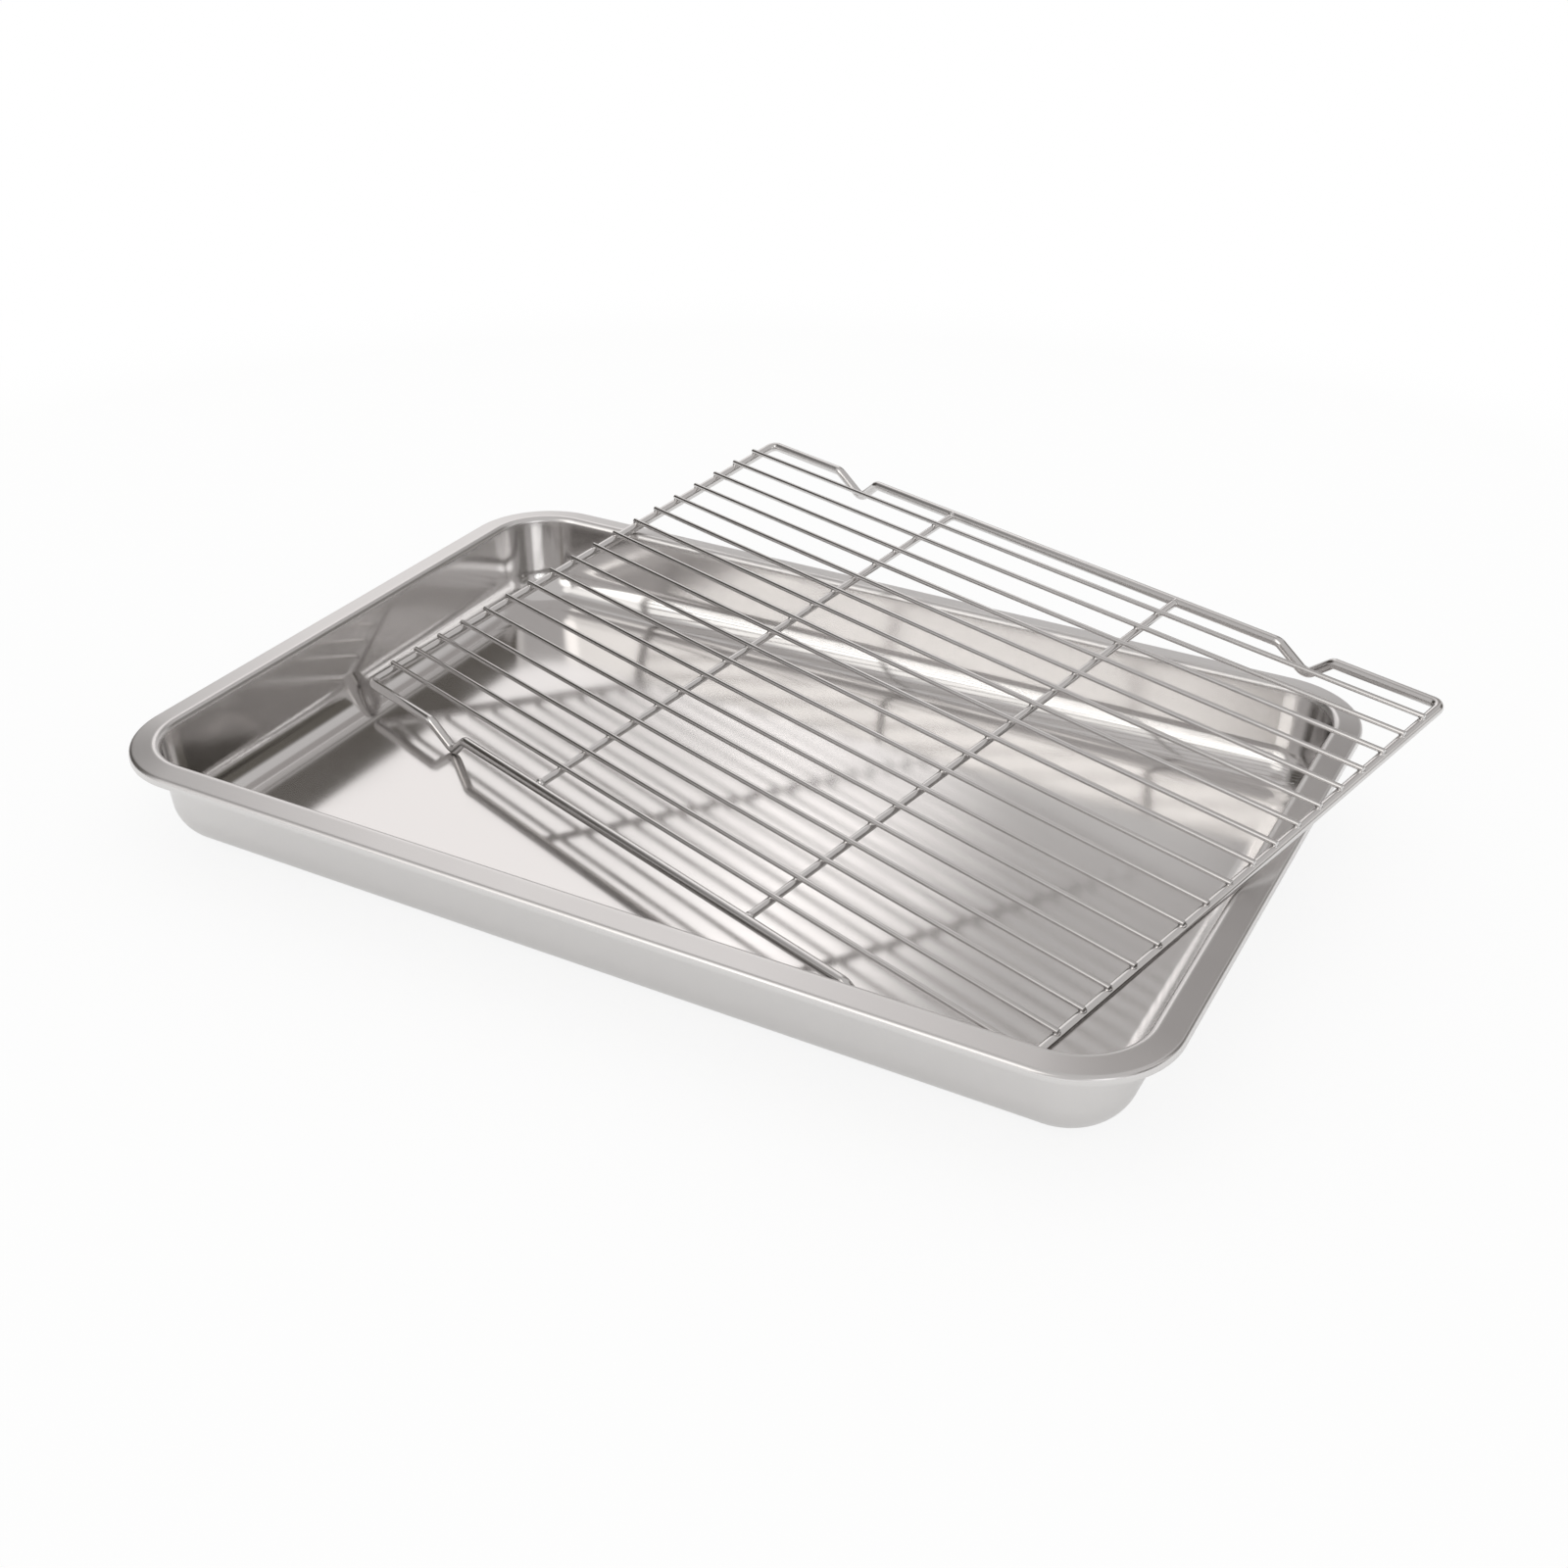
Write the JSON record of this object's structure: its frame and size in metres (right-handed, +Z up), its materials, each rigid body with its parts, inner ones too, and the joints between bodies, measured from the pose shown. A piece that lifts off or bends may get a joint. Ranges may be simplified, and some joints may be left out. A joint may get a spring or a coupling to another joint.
{
  "type": "baking tray with wire rack",
  "caption": "Shallow rectangular steel baking tray with rounded corners and a gently sloping, turned-down rim, and a loose welded wire rack with V-shaped feet lying askew across it.",
  "frame": {"origin": "middle of the tray's flat underside", "axes": "+Z up out of the tray, +X along the tray's long side to the viewer's right, +Y to the back"},
  "size_m": [0.4287, 0.3471, 0.067],
  "materials": {
    "tray_steel": "bright stainless sheet, softly mirrored, with fine rolling grain",
    "rack_wire": "drawn stainless wire, electropolished after welding"
  },
  "bodies": {
    "tray": {"tray": "tray_steel"},
    "rack": {"rack_border": "rack_wire", "cross_wire_left": "rack_wire", "cross_wire_right": "rack_wire", "long_wire_01": "rack_wire", "long_wire_02": "rack_wire", "long_wire_03": "rack_wire", "long_wire_04": "rack_wire", "long_wire_05": "rack_wire", "long_wire_06": "rack_wire", "long_wire_07": "rack_wire", "long_wire_08": "rack_wire", "long_wire_09": "rack_wire", "long_wire_10": "rack_wire", "long_wire_11": "rack_wire", "long_wire_12": "rack_wire", "long_wire_13": "rack_wire", "long_wire_14": "rack_wire", "long_wire_15": "rack_wire", "long_wire_16": "rack_wire", "long_wire_17": "rack_wire", "long_wire_18": "rack_wire"}
  },
  "joints": [
    {"name": "rack_lift", "type": "slide", "parent": "tray", "child": "rack", "axis": [0, 0, 1], "range_m": [0, 0.12]}
  ]
}
